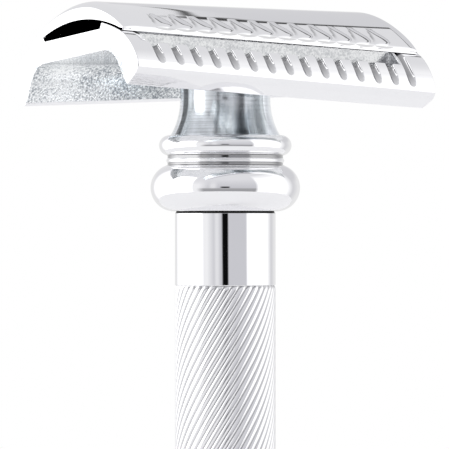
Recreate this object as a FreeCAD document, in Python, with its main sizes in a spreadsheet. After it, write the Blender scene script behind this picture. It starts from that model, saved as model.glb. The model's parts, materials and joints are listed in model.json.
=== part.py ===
import FreeCAD, Part
import math
import os

import Sketcher
from FreeCAD import Placement, Rotation, Vector

# Slant-head double-edge safety razor, standing on the foot of its knob. Millimetres and degrees.
# Z is up along the handle, X runs along the head, and the origin is the centre of the knob's foot.
# The head is one cross-section carried along X while it turns about the head's own line: its
# sketches are therefore drawn about that line, and its bodies are placed at twist_height.

SIZES = {
    # handle: heights above the foot
    "seam_height": 79.0,
    "tube_foot": 14.15,
    "tube_radius": 5.75,
    "tube_bore": 4.6,
    "collar_height": 8.8,
    # head
    "twist_height": 97.2,
    "head_twist": 10.5,
    "cap_length": 40.7,
    "cap_half_width": 9.5,
    "cap_rim_top": 1.47,
    "cap_top_radius": 13.83,
    "cap_under_crest": 3.0,
    "cap_under_radius": 22.0,
    "blade_gap": 0.06,
    "plate_length": 41.6,
    "slot_half_width": 5.6,
    "slot_floor": 1.58,
    "slot_shoulder": 0.3,
    "block_edge": 9.9,
    "skirt_shoulder_radius": 7.0,
    "skirt_half_width": 12.8,
    "skirt_bulge": -3.0,
    "skirt_bulge_radius": 1.6,
    "skirt_tuck": 0.6,
    "skirt_tuck_drop": 1.25,
    "skirt_bottom": -5.3,
    "skirt_bottom_inset": 2.3,
    "hollow_lip_inset": 2.7,
    "hollow_lip_rise": 0.35,
    "hollow_half_width": 6.3,
    "hollow_roof": -1.0,
    "hollow_corner_radius": 3.3,
    "hollow_corner_run": 2.6,
    "hollow_corner_drop": 1.9,
    "cut_reach": 5.0,
    "cut_margin": 1.0,
    # guards
    "guard_half_length": 18.9,
    "platform_half_width": 8.95,
    "guard_inner": 11.4,
    "guard_crest": -1.05,
    "channel_radius": 1.3,
    "notch_count": 15,
    "notch_pitch": 2.5,
    "notch_radius": 0.6,
    "notch_offset": 0.35,
    "notch_lean": 44.0,
    # cap fixings
    "stud_radius": 2.5,
    "stud_foot": 8.0,
    "stud_shoulder": 21.0,
    "stud_plug_radius": 2.0,
    "stud_socket_depth": 4.1,
    "stud_clearance": 0.1,
    "thread_pitch": 0.8,
    "thread_depth": 0.45,
    "thread_half_width": 0.35,
    "thread_length": 10.0,
    "pin_radius": 1.25,
    "pin_spread": 13.0,
    "pin_foot": -0.8,
    "pin_socket_depth": 3.9,
    "running_clearance": 0.05,
    # neck and collar
    "neck_radius": 5.15,
    "neck_foot_radius": 6.25,
    "neck_flare_height": 12.8,
    "neck_flare_radius": 8.1,
    "neck_spigot_radius": 4.0,
    "neck_tail": 3.5,
    "neck_bore": 3.55,
    "neck_bore_top": 16.5,
    "neck_spigot_top": 19.5,
    "neck_roof_gap": 0.15,
    "collar_top_radius": 6.5,
    "collar_waist_radius": 6.6,
    "small_bead_radius": 1.16,
    "small_bead_foot": 6.5,
    "waist_bead_radius": 0.3,
    "waist_bead_top": 6.15,
    "waist_bead_foot": 5.65,
    "large_bead_radius": 2.7,
    "large_bead_top": 5.4,
    "collar_foot_radius": 6.3,
    "seam_recess": 0.15,
    # drive
    "rod_radius": 2.0,
    "rod_foot": 5.0,
    "rod_seat": 5.4,
    "screw_hole_depth": 8.0,
    "nut_radius": 3.45,
    "nut_foot": 3.0,
    "nut_top": 16.2,
    "nut_socket_foot": 6.0,
    "upper_bush_length": 5.0,
    "bush_foot": 14.8,
    "bush_top": 22.6,
    "washer_bore_radius": 2.9,
    "washer_radius": 4.3,
    "spring_bore_radius": 2.15,
    "spring_radius": 4.2,
    "spring_cone": 0.4,
    "spring_thickness": 0.25,
    "ring_groove_radius": 1.6,
    "ring_groove_height": 23.33,
    "ring_groove_play": 0.1,
    "ring_radius": 3.3,
    "ring_bore_gap": 0.02,
    "ring_thickness": 0.6,
    "ring_mouth_start": 0.5,
    "ring_mouth_end": 4.0,
    "ring_mouth_half_width": 1.1,
    "o_ring_radius": 2.36,
    "o_ring_half_thickness": 0.34,
    # knob: heights above its foot
    "knob_height": 14.0,
    "knob_foot_radius": 5.8,
    "foot_bead_radius": 1.57,
    "foot_bead_top": 3.0,
    "knob_groove_radius": 6.3,
    "belt_foot": 3.5,
    "belt_top": 10.6,
    "belt_chamfer": 0.25,
    "knob_belt_radius": 7.0,
    "upper_groove_radius": 6.1,
    "upper_bead_foot": 11.2,
    "upper_bead_radius": 1.21,
    "knob_lip_radius": 5.9,
    "knob_lip_height": 0.4,
    "end_cap_radius": 4.5,
    "end_cap_thickness": 1.6,
    "screw_radius": 1.5,
    "screw_clearance": 0.1,
    "screw_reach": 6.0,
    "screw_head_radius": 2.6,
    "screw_head_drop": 2.6,
    "screw_head_gap": 0.4,
    "screw_seat_thickness": 1.0,
    "driver_slot_half_length": 3.0,
    "driver_slot_half_width": 0.35,
    "driver_slot_depth": 0.8,
}

DOC = FreeCAD.newDocument("safety_razor")


def make_sheet():
    """Spreadsheet with one named cell for each driving dimension."""
    sheet = DOC.addObject("Spreadsheet::Sheet", "size")
    for row, (alias, value) in enumerate(SIZES.items(), start=1):
        sheet.set(f"A{row}", alias)
        sheet.set(f"B{row}", str(value))
        sheet.setAlias(f"B{row}", alias)
    DOC.recompute()
    return sheet


SHEET = make_sheet()


def size(alias):
    """Present value of one cell."""
    return float(SHEET.get(alias))


def value_of(expression):
    """Number that an expression on the sheet comes to."""
    return float(SHEET.evalExpression(str(expression)))


def new_body(label, height="0"):
    """Empty body standing at a height that follows the sheet."""
    body = DOC.addObject("PartDesign::Body", label)
    body.Label = label
    body.setExpression("Placement.Base.z", height)
    return body


def origin_plane(body, role):
    """One of the body's own origin planes."""
    for feature in body.Origin.OriginFeatures:
        if feature.Role == role:
            return feature
    raise ValueError(role)


def new_sketch(body, name, role):
    """Empty sketch on one of the body's own origin planes."""
    sketch = body.newObject("Sketcher::SketchObject", name)
    sketch.AttachmentSupport = [(origin_plane(body, role), "")]
    sketch.MapMode = "FlatFace"
    return sketch


def pin_coordinate(sketch, kind, geometry, point, expression):
    """Hold one coordinate of a sketch point at an expression on the sheet."""
    if str(expression) == "0":
        axis = -2 if kind == "DistanceX" else -1
        sketch.addConstraint(Sketcher.Constraint("PointOnObject", geometry, point, axis))
        return
    number = value_of(expression)
    index = sketch.addConstraint(Sketcher.Constraint(kind, -1, 1, geometry, point, number))
    sketch.setExpression(f"Constraints[{index}]", str(expression))


def arc_between(start, end, radius):
    """Minor arc from start to end; a positive radius turns left along the way."""
    chord = end.sub(start)
    across = Vector(-chord.y, chord.x, 0).normalize()
    rise = math.sqrt(radius**2 - (chord.Length / 2) ** 2)
    centre = start.add(end).multiply(0.5).add(across.multiply(math.copysign(rise, radius)))
    first, last = (start, end) if radius > 0 else (end, start)
    from_angle = math.atan2(first.y - centre.y, first.x - centre.x)
    to_angle = math.atan2(last.y - centre.y, last.x - centre.x)
    if to_angle < from_angle:
        to_angle += 2 * math.pi
    circle = Part.Circle(centre, Vector(0, 0, 1), abs(radius))
    return Part.ArcOfCircle(circle, from_angle, to_angle)


def draw_outline(sketch, corners):
    """Closed outline. A corner is (x, y), or (x, y, radius) when the run that leaves it is an arc."""
    points = [Vector(value_of(c[0]), value_of(c[1]), 0) for c in corners]
    ends = []
    for index, corner in enumerate(corners):
        start, end = points[index], points[(index + 1) % len(points)]
        if len(corner) == 3:
            radius = value_of(corner[2])
            geometry = sketch.addGeometry(arc_between(start, end, radius))
            ends.append((geometry, 1, 2) if radius > 0 else (geometry, 2, 1))
            bound = sketch.addConstraint(Sketcher.Constraint("Radius", geometry, abs(radius)))
            sketch.setExpression(f"Constraints[{bound}]", f"abs({corner[2]})")
        else:
            ends.append((sketch.addGeometry(Part.LineSegment(start, end)), 1, 2))
    for index, (geometry, start, _) in enumerate(ends):
        before, _, finish = ends[index - 1]
        sketch.addConstraint(Sketcher.Constraint("Coincident", before, finish, geometry, start))
        pin_coordinate(sketch, "DistanceX", geometry, start, corners[index][0])
        pin_coordinate(sketch, "DistanceY", geometry, start, corners[index][1])


def draw_circle(sketch, x, y, radius):
    """Circle whose centre and radius follow the sheet."""
    centre = Vector(value_of(x), value_of(y), 0)
    circle = Part.Circle(centre, Vector(0, 0, 1), value_of(radius))
    geometry = sketch.addGeometry(circle)
    pin_coordinate(sketch, "DistanceX", geometry, 3, x)
    pin_coordinate(sketch, "DistanceY", geometry, 3, y)
    bound = sketch.addConstraint(Sketcher.Constraint("Radius", geometry, value_of(radius)))
    sketch.setExpression(f"Constraints[{bound}]", str(radius))


def turned(label, corners, height="0"):
    """Body turned about Z from an outline of (radius, height) corners."""
    body = new_body(label, height)
    sketch = new_sketch(body, f"{label}_outline", "XZ_Plane")
    draw_outline(sketch, corners)
    spin = body.newObject("PartDesign::Revolution", f"{label}_turned")
    spin.Profile = sketch
    spin.ReferenceAxis = (sketch, ["V_Axis"])
    spin.Angle = 360
    DOC.recompute()
    return body


def bore(body, name, circles, foot, length):
    """Round holes from the height foot upwards, each given as (x, y, radius)."""
    before = body.Shape.Volume
    sketch = new_sketch(body, f"{name}_circles", "XY_Plane")
    sketch.setExpression("AttachmentOffset.Base.z", foot)
    for x, y, radius in circles:
        draw_circle(sketch, x, y, radius)
    pocket = body.newObject("PartDesign::Pocket", name)
    pocket.Profile = sketch
    pocket.setExpression("Length", length)
    pocket.Reversed = True
    DOC.recompute()
    if not body.Shape.Volume < before:
        raise RuntimeError(f"{name} cuts nothing")


def both_sides(right_half):
    """Whole outline from its right half, which starts and ends beside the middle line."""
    left_half = []
    for index in range(len(right_half) - 1, -1, -1):
        corner = right_half[index]
        arc = right_half[index - 1][2:] if index else ()
        left_half.append((f"-({corner[0]})", corner[1], *arc))
    return [*right_half, *left_half]


def other_side(corners):
    """The same outline mirrored to the other side, with every arc turning the other way."""
    return [(f"-({c[0]})", c[1], *(f"-({radius})" for radius in c[2:])) for c in corners]


def twisted_sections(body, name, corners, half_length):
    """The outline at both ends of a stretch of the head, each turned about the head's line."""
    sections = []
    for end, sign in (("left", "-1"), ("right", "1")):
        sketch = new_sketch(body, f"{name}_{end}", "YZ_Plane")
        sketch.setExpression("AttachmentOffset.Base.z", f"{sign} * ({half_length})")
        turn = f"{sign} * size.head_twist * ({half_length}) / size.plate_length"
        sketch.setExpression("AttachmentOffset.Rotation.Angle", turn)
        draw_outline(sketch, corners)
        sections.append(sketch)
    return sections


def twisted_loft(body, kind, name, corners, half_length):
    """Straight-ruled loft between the two turned outlines."""
    left, right = twisted_sections(body, name, corners, half_length)
    loft = body.newObject(kind, name)
    loft.Profile = left
    loft.Sections = [right]
    loft.Ruled = True
    DOC.recompute()
    return loft


def seat_height(across):
    """Height of the blade seat at a distance from the middle, under the arch of the cap."""
    radius = "size.cap_under_radius"
    drop = f"({radius} - sqrt({radius}^2 - ({across})^2))"
    return f"size.cap_under_crest - size.blade_gap - {drop}"


def under_edge():
    """Height of the lower corner of the cap's rim."""
    return f"{seat_height('size.cap_half_width')} + size.blade_gap"


def make_cap():
    """Arched cap with blind holes for the stud and the two pins."""
    body = new_body("cap", "size.twist_height")
    corners = [
        ("-size.cap_half_width", "size.cap_rim_top", "-size.cap_top_radius"),
        ("size.cap_half_width", "size.cap_rim_top"),
        ("size.cap_half_width", under_edge(), "size.cap_under_radius"),
        ("-size.cap_half_width", under_edge()),
    ]
    twisted_loft(body, "PartDesign::AdditiveLoft", "cap_arch", corners, "size.cap_length / 2")
    bore(body, "stud_socket", [("0", "0", "size.stud_plug_radius")], "0", "size.stud_socket_depth")
    pins = [(side + "size.pin_spread", "0", "size.pin_radius") for side in ("-", "")]
    bore(body, "pin_sockets", pins, "0", "size.pin_socket_depth")
    return body


def plate_corners():
    """Cross-section of the plate through a corner block."""
    shoulder = "size.slot_half_width + size.slot_shoulder"
    return both_sides([
        ("size.slot_half_width", "size.slot_floor"),
        (shoulder, seat_height(shoulder), "-size.cap_under_radius"),
        ("size.block_edge", seat_height("size.block_edge"), "-size.skirt_shoulder_radius"),
        ("size.skirt_half_width", "size.skirt_bulge", "-size.skirt_bulge_radius"),
        ("size.skirt_half_width - size.skirt_tuck", "size.skirt_bulge - size.skirt_tuck_drop"),
        ("size.skirt_half_width - size.skirt_bottom_inset", "size.skirt_bottom"),
        ("size.skirt_half_width - size.hollow_lip_inset",
         "size.skirt_bottom + size.hollow_lip_rise"),
        ("size.hollow_half_width + size.hollow_corner_run",
         "size.hollow_roof - size.hollow_corner_drop", "size.hollow_corner_radius"),
        ("size.hollow_half_width", "size.hollow_roof"),
    ])


def cut_channel(body, side):
    """Lather channel between the blade platform and one guard, with the guard's crest."""
    clear_top, clear_side = "size.cut_reach", "size.skirt_half_width + size.cut_margin"
    corners = [
        ("size.platform_half_width", clear_top),
        (clear_side, clear_top),
        (clear_side, "size.guard_crest"),
        ("size.guard_inner", "size.guard_crest", "-size.channel_radius"),
        ("size.platform_half_width", "size.guard_crest"),
    ]
    if side < 0:
        corners = other_side(corners)
    before = body.Shape.Volume
    name = "channel_front" if side < 0 else "channel_back"
    twisted_loft(body, "PartDesign::SubtractiveLoft", name, corners, "size.guard_half_length")
    if not body.Shape.Volume < before:
        raise RuntimeError(f"{name} cuts nothing")


def head_point(x, across, height):
    """Where a point of the head's cross-section lies at x, after the twist."""
    turn = math.radians(size("head_twist") * x / size("plate_length"))
    y = across * math.cos(turn) - height * math.sin(turn)
    z = across * math.sin(turn) + height * math.cos(turn)
    return Vector(x, y, z)


def cut_notches(body, side):
    """Row of round-bottomed notches down one guard, repeated along the sloping crest."""
    half_row = size("notch_pitch") * (size("notch_count") - 1) / 2
    across = side * (size("guard_inner") + size("notch_offset"))
    first = head_point(-half_row, across, size("guard_crest"))
    last = head_point(half_row, across, size("guard_crest"))
    along = last.sub(first).normalize()
    lean = math.radians(size("notch_lean"))
    axis = Vector(0, -side * math.sin(lean), math.cos(lean))
    axis = axis.sub(along * axis.dot(along)).normalize()
    name = "notch_front" if side < 0 else "notch_back"
    sketch = new_sketch(body, f"{name}_circle", "XY_Plane")
    turn = Rotation(along, axis.cross(along), axis, "ZXY")
    sketch.AttachmentOffset = Placement(first.add(axis), turn)
    draw_circle(sketch, "0", "0", "size.notch_radius")
    pocket = body.newObject("PartDesign::Pocket", name)
    pocket.Profile = sketch
    pocket.setExpression("Length", "size.cut_reach")
    DOC.recompute()
    before = body.Shape.Volume
    row = body.newObject("PartDesign::LinearPattern", f"{name}_row")
    row.Originals = [pocket]
    row.Direction = (sketch, ["H_Axis"])
    row.Length = last.sub(first).Length
    row.setExpression("Occurrences", "size.notch_count")
    body.Tip = row
    DOC.recompute()
    if not body.Shape.Volume < before:
        raise RuntimeError(f"{name} cuts nothing")


def make_base_plate():
    """Twisted plate: arched skirts over a hollow, corner blocks, channels, guards and holes."""
    body = new_body("base_plate", "size.twist_height")
    half_length = "size.plate_length / 2"
    twisted_loft(body, "PartDesign::AdditiveLoft", "plate_arch", plate_corners(), half_length)
    for side in (-1, 1):
        cut_channel(body, side)
    for side in (-1, 1):
        cut_notches(body, side)
    foot, reach = "-size.cut_reach", "2 * size.cut_reach"
    bore(body, "neck_hole", [("0", "0", "size.neck_spigot_radius")], foot, reach)
    hole = "size.pin_radius + size.running_clearance"
    pins = [(side + "size.pin_spread", "0", hole) for side in ("-", "")]
    bore(body, "pin_holes", pins, foot, reach)
    return body


def make_neck():
    """Flared sleeve: spigot in the plate, concave flare, tail in the tube."""
    roof = "size.twist_height - size.seam_height + size.hollow_roof - size.neck_roof_gap"
    stud_hole = "size.stud_radius + size.stud_clearance"
    corners = [
        (stud_hole, "size.neck_spigot_top"),
        ("size.neck_spigot_radius", "size.neck_spigot_top"),
        ("size.neck_spigot_radius", roof),
        ("size.neck_radius", roof),
        ("size.neck_radius", "size.neck_flare_height", "size.neck_flare_radius"),
        ("size.neck_foot_radius", "size.collar_height"),
        ("size.tube_bore", "size.collar_height"),
        ("size.tube_bore", "-size.neck_tail"),
        ("size.neck_bore", "-size.neck_tail"),
        ("size.neck_bore", "size.neck_bore_top"),
        (stud_hole, "size.neck_bore_top"),
    ]
    return turned("neck", corners, "size.seam_height")


def make_collar():
    """Ring with a small bead over a large one and a narrow banded groove between them."""
    corners = [
        ("size.tube_bore", "size.collar_height"),
        ("size.collar_top_radius", "size.collar_height", "-size.small_bead_radius"),
        ("size.collar_waist_radius", "size.small_bead_foot"),
        ("size.collar_waist_radius", "size.waist_bead_top", "-size.waist_bead_radius"),
        ("size.collar_waist_radius", "size.waist_bead_foot"),
        ("size.collar_waist_radius", "size.large_bead_top", "-size.large_bead_radius"),
        ("size.collar_foot_radius", "size.seam_recess"),
        ("size.tube_radius - size.seam_recess", "size.seam_recess"),
        ("size.tube_radius - size.seam_recess", "0"),
        ("size.tube_bore", "0"),
    ]
    return turned("collar", corners, "size.seam_height")


def make_handle_tube():
    """Plain tube of the grip, its full length in the outer size of the ribs."""
    corners = [
        ("size.tube_bore", "size.tube_foot"),
        ("size.tube_radius", "size.tube_foot"),
        ("size.tube_radius", "size.seam_height"),
        ("size.tube_bore", "size.seam_height"),
    ]
    return turned("handle_tube", corners)


def cut_thread(body):
    """Right-hand V thread up the lower part of the stud."""
    before = body.Shape.Volume
    sketch = new_sketch(body, "thread_groove", "XZ_Plane")
    root = "size.stud_radius - size.thread_depth"
    clear = "size.stud_radius + size.stud_clearance"
    foot = "size.stud_foot - size.thread_pitch"
    corners = [
        (root, foot),
        (clear, f"{foot} + size.thread_half_width"),
        (clear, f"{foot} - size.thread_half_width"),
    ]
    draw_outline(sketch, corners)
    helix = body.newObject("PartDesign::SubtractiveHelix", "thread")
    helix.Profile = sketch
    helix.ReferenceAxis = (sketch, ["V_Axis"])
    helix.Mode = 0
    helix.setExpression("Pitch", "size.thread_pitch")
    helix.setExpression("Height", "size.thread_length")
    helix.LeftHanded = False
    DOC.recompute()
    if not body.Shape.Volume < before:
        raise RuntimeError("the thread cuts nothing")


def make_cap_stud():
    """Threaded post with a plug staked into the cap."""
    plug_top = "size.twist_height - size.seam_height + size.stud_socket_depth"
    corners = [
        ("0", "size.stud_foot"),
        ("size.stud_radius", "size.stud_foot"),
        ("size.stud_radius", "size.stud_shoulder"),
        ("size.stud_plug_radius", "size.stud_shoulder"),
        ("size.stud_plug_radius", plug_top),
        ("0", plug_top),
    ]
    body = turned("cap_stud", corners, "size.seam_height")
    cut_thread(body)
    return body


def make_locating_pins():
    """Two equal pins, one each side of the stud, staked into the cap."""
    pins = []
    for index, side in enumerate(("-1", "1")):
        pin = DOC.addObject("Part::Cylinder", f"locating_pin_{index}")
        pin.setExpression("Radius", "size.pin_radius")
        pin.setExpression("Height", "size.pin_socket_depth - size.pin_foot")
        pin.setExpression("Placement.Base.x", f"{side} * size.pin_spread")
        pins.append(pin)
    both = DOC.addObject("Part::Compound", "locating_pins")
    both.Links = pins
    both.Label = "locating_pins"
    both.setExpression("Placement.Base.z", "size.twist_height + size.pin_foot")
    return both


def make_draw_nut():
    """Head of the rod: a deep socket for the stud above a shallow one for the rod."""
    socket = "size.stud_radius + size.running_clearance"
    corners = [
        ("size.rod_radius", "size.nut_foot"),
        ("size.nut_radius", "size.nut_foot"),
        ("size.nut_radius", "size.nut_top"),
        (socket, "size.nut_top"),
        (socket, "size.nut_socket_foot"),
        ("0", "size.nut_socket_foot"),
        ("0", "size.rod_seat"),
        ("size.rod_radius", "size.rod_seat"),
    ]
    return turned("draw_nut", corners, "size.seam_height")


def make_draw_rod():
    """Rod with a screw hole in its foot and a groove for the retaining ring."""
    top = "size.seam_height + size.rod_seat"
    groove_foot = "size.ring_groove_height"
    groove_top = f"{groove_foot} + size.ring_thickness + size.ring_groove_play"
    hole_top = "size.rod_foot + size.screw_hole_depth"
    corners = [
        ("size.screw_radius", "size.rod_foot"),
        ("size.rod_radius", "size.rod_foot"),
        ("size.rod_radius", groove_foot),
        ("size.ring_groove_radius", groove_foot),
        ("size.ring_groove_radius", groove_top),
        ("size.rod_radius", groove_top),
        ("size.rod_radius", top),
        ("0", top),
        ("0", hole_top),
        ("size.screw_radius", hole_top),
    ]
    return turned("draw_rod", corners)


def make_bush(label, inner, outer, foot, top):
    """Plain ring-shaped bush or washer."""
    corners = [(inner, foot), (outer, foot), (outer, top), (inner, top)]
    return turned(label, corners)


def make_disc_spring():
    """Shallow conical spring washer between the lower bush and the retaining ring."""
    seat = "size.bush_top + size.running_clearance"
    corners = [
        ("size.spring_bore_radius", f"{seat} + size.spring_cone"),
        ("size.spring_radius", seat),
        ("size.spring_radius", f"{seat} + size.spring_thickness"),
        ("size.spring_bore_radius", f"{seat} + size.spring_cone + size.spring_thickness"),
    ]
    return turned("disc_spring", corners)


def make_retaining_ring():
    """Open spring ring snapped into the groove of the rod."""
    body = new_body("retaining_ring", "size.ring_groove_height + size.running_clearance")
    sketch = new_sketch(body, "ring_circles", "XY_Plane")
    draw_circle(sketch, "0", "0", "size.ring_radius")
    draw_circle(sketch, "0", "0", "size.ring_groove_radius + size.ring_bore_gap")
    pad = body.newObject("PartDesign::Pad", "ring_pad")
    pad.Profile = sketch
    pad.setExpression("Length", "size.ring_thickness")
    DOC.recompute()
    mouth = new_sketch(body, "ring_mouth", "XY_Plane")
    start, end, half = "size.ring_mouth_start", "size.ring_mouth_end", "size.ring_mouth_half_width"
    draw_outline(mouth, [(start, f"-{half}"), (end, f"-{half}"), (end, half), (start, half)])
    cut = body.newObject("PartDesign::Pocket", "ring_mouth_cut")
    cut.Profile = mouth
    cut.setExpression("Length", "size.cut_reach")
    cut.Midplane = True
    DOC.recompute()
    return body


def make_o_ring():
    """Rubber ring on the rod inside the thrust washer."""
    ring = DOC.addObject("Part::Torus", "rod_o_ring")
    ring.Label = "rod_o_ring"
    ring.setExpression("Radius1", "size.o_ring_radius")
    ring.setExpression("Radius2", "size.o_ring_half_thickness")
    ring.setExpression("Placement.Base.z", "(size.knob_height + size.bush_foot) / 2")
    return ring


def make_twist_knob():
    """Knob with a bead at each end of a straight belt, bored for the rod, screw and end cap."""
    screw_hole = "size.screw_radius + size.screw_clearance"
    head_hole = "size.screw_head_radius + size.screw_head_gap"
    screw_seat = "size.rod_foot - size.screw_seat_thickness"
    corners = [
        ("size.end_cap_radius", "0"),
        ("size.knob_foot_radius", "0", "size.foot_bead_radius"),
        ("size.knob_groove_radius", "size.foot_bead_top"),
        ("size.knob_groove_radius", "size.belt_foot"),
        ("size.knob_belt_radius - size.belt_chamfer", "size.belt_foot"),
        ("size.knob_belt_radius", "size.belt_foot + size.belt_chamfer"),
        ("size.knob_belt_radius", "size.belt_top - size.belt_chamfer"),
        ("size.knob_belt_radius - size.belt_chamfer", "size.belt_top"),
        ("size.upper_groove_radius", "size.belt_top"),
        ("size.upper_groove_radius", "size.upper_bead_foot", "size.upper_bead_radius"),
        ("size.knob_lip_radius", "size.knob_height - size.knob_lip_height"),
        ("size.tube_radius", "size.knob_height - size.knob_lip_height"),
        ("size.tube_radius", "size.knob_height"),
        ("size.rod_radius", "size.knob_height"),
        ("size.rod_radius", "size.rod_foot"),
        (screw_hole, "size.rod_foot"),
        (screw_hole, screw_seat),
        (head_hole, screw_seat),
        (head_hole, "size.end_cap_thickness"),
        ("size.end_cap_radius", "size.end_cap_thickness"),
    ]
    return turned("twist_knob", corners)


def make_knob_screw():
    """Cheese-head screw with a cross slot, up into the rod."""
    head_foot = "size.rod_foot - size.screw_head_drop"
    screw_seat = "size.rod_foot - size.screw_seat_thickness"
    tip = "size.rod_foot + size.screw_reach"
    corners = [
        ("0", head_foot),
        ("size.screw_head_radius", head_foot),
        ("size.screw_head_radius", screw_seat),
        ("size.screw_radius", screw_seat),
        ("size.screw_radius", tip),
        ("0", tip),
    ]
    body = turned("knob_screw", corners)
    before = body.Shape.Volume
    slot = new_sketch(body, "driver_slot", "XY_Plane")
    slot.setExpression("AttachmentOffset.Base.z", head_foot)
    long, wide = "size.driver_slot_half_length", "size.driver_slot_half_width"
    draw_outline(slot, [(f"-{long}", f"-{wide}"), (long, f"-{wide}"), (long, wide),
                        (f"-{long}", wide)])
    cut = body.newObject("PartDesign::Pocket", "driver_slot_cut")
    cut.Profile = slot
    cut.setExpression("Length", "size.driver_slot_depth")
    cut.Reversed = True
    DOC.recompute()
    if not body.Shape.Volume < before:
        raise RuntimeError("the driver slot cuts nothing")
    return body


def make_knob_end_cap():
    """Disc pressed into the foot of the knob, flush with it."""
    disc = DOC.addObject("Part::Cylinder", "knob_end_cap")
    disc.Label = "knob_end_cap"
    disc.setExpression("Radius", "size.end_cap_radius")
    disc.setExpression("Height", "size.end_cap_thickness")
    return disc


def make_razor():
    """Every sub-part, in place, with the knob fully tightened."""
    rod_fit = "size.rod_radius + size.running_clearance"
    tail_foot = "size.seam_height - size.neck_tail"
    tail_bush_top = f"{tail_foot} + size.upper_bush_length"
    washer_top = "size.bush_foot - size.running_clearance"
    return [
        make_cap(),
        make_cap_stud(),
        make_locating_pins(),
        make_base_plate(),
        make_neck(),
        make_collar(),
        make_handle_tube(),
        make_bush("upper_guide_bush", rod_fit, "size.neck_bore", tail_foot, tail_bush_top),
        make_bush("lower_guide_bush", rod_fit, "size.tube_bore", "size.bush_foot", "size.bush_top"),
        make_bush("thrust_washer", "size.washer_bore_radius", "size.washer_radius",
                  "size.knob_height", washer_top),
        make_draw_nut(),
        make_draw_rod(),
        make_disc_spring(),
        make_retaining_ring(),
        make_o_ring(),
        make_twist_knob(),
        make_knob_screw(),
        make_knob_end_cap(),
    ]


def check_and_write(sub_parts):
    """Stop on any failed feature or bad shape, then write one STEP file for each sub-part."""
    DOC.recompute()
    for item in DOC.Objects:
        if "Invalid" in item.State or "Error" in item.State:
            raise RuntimeError(f"{item.Name}: {item.State}")
    for part in sub_parts:
        if part.Shape.isNull() or not part.Shape.isValid():
            raise RuntimeError(f"{part.Label} has a bad shape")
    os.makedirs("parts", exist_ok=True)
    for part in sub_parts:
        part.Shape.exportStep(f"parts/{part.Label}.step")
        box = part.Shape.BoundBox
        spans = [box.XMin, box.XMax, box.YMin, box.YMax, box.ZMin, box.ZMax]
        print(part.Label, len(part.Shape.Solids), round(part.Shape.Volume, 2),
              [round(span, 2) for span in spans])


check_and_write(make_razor())
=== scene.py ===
"""Looks of a slant-head safety razor: plated head, turned neck, spiral grip and knob, in a bright
studio."""

import json
import math

import bpy
import numpy as np
from bpy.props import FloatProperty, FloatVectorProperty, IntProperty, PointerProperty
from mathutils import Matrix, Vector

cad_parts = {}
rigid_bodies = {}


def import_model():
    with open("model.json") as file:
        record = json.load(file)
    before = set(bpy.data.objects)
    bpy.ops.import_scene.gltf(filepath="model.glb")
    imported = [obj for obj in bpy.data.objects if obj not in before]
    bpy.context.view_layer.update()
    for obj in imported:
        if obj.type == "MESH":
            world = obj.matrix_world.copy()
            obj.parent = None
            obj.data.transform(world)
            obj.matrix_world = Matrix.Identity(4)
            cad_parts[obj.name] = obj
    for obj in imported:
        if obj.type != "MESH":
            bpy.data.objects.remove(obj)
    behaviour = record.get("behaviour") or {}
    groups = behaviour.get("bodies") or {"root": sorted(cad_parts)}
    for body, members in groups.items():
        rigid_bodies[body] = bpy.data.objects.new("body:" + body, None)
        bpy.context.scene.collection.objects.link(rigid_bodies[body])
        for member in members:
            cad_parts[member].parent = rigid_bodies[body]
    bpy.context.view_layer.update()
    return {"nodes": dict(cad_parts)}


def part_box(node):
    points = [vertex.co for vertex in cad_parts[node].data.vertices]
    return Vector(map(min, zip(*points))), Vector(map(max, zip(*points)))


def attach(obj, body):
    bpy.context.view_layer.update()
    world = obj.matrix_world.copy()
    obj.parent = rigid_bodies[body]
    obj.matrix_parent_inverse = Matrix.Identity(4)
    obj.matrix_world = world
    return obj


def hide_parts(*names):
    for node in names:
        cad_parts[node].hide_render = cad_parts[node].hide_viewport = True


bl_info = {
    "name": "Slant Razor Looks",
    "version": (1, 0, 0),
    "blender": (4, 5, 0),
    "location": "View3D > Sidebar > Razor",
    "description": "Builds the plated surfaces, finishes and studio of a slant-head safety razor",
    "category": "Add Mesh",
}

for spare in list(bpy.data.objects):
    bpy.data.objects.remove(spare)
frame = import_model()

MM = 0.001
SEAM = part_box("handle_tube")[1][2] / MM
TUBE_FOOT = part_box("handle_tube")[0][2] / MM
TUBE_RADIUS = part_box("handle_tube")[1][0] / MM
PLATE_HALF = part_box("base_plate")[1][0] / MM
CAP_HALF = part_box("cap")[1][0] / MM

# All lengths below are in millimetres unless they say otherwise.
HOLD = 0.03  # from the end of a run to the extra point that keeps flats flat when shaded
COLUMNS = 160  # points round a turned piece
TUBE_BORE = 4.6

# The skin attribute: 0 where polished, 1 where cast, 2 where hidden and painted dark as shade.
# The slot floor, the cap's underside and the collar's recess lie past 1, in painted shade.
WALL_SKIN, FLOOR_SKIN_SHADE, HOLLOW_SKIN, ROOF_SKIN, UNDER_SHADE, RECESS_SHADE = 0.45, 1.3, 1, 0.35, 1.9, 2

# Painted shade in creases, which darkens the colour from 0, not at all, to 1, nearly black.
RIB_PAINTED_SHADE, COLLAR_PAINTED_SHADE, NOTCH_PAINTED_SHADE, WALL_PAINTED_SHADE = 0.45, 0.6, 0.6, 0.78
RIM_PAINTED_SHADE, LEFT_SHADE_STROKE, RIGHT_SHADE_STROKE = 0.42, 0.6, 0.15


def length(label, millimetres, words):
    """Length setting, given in millimetres and kept in metres."""
    return FloatProperty(name=label, description=words, default=millimetres * MM, unit="LENGTH")


def angle(label, degrees, words):
    """Angle setting, given in degrees and kept in radians."""
    return FloatProperty(name=label, description=words, default=math.radians(degrees),
                         subtype="ANGLE")


def colour(label, rgb, words):
    """Colour setting."""
    return FloatVectorProperty(name=label, description=words, default=rgb, size=3, subtype="COLOR",
                               min=0.0, max=1.0)


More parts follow.
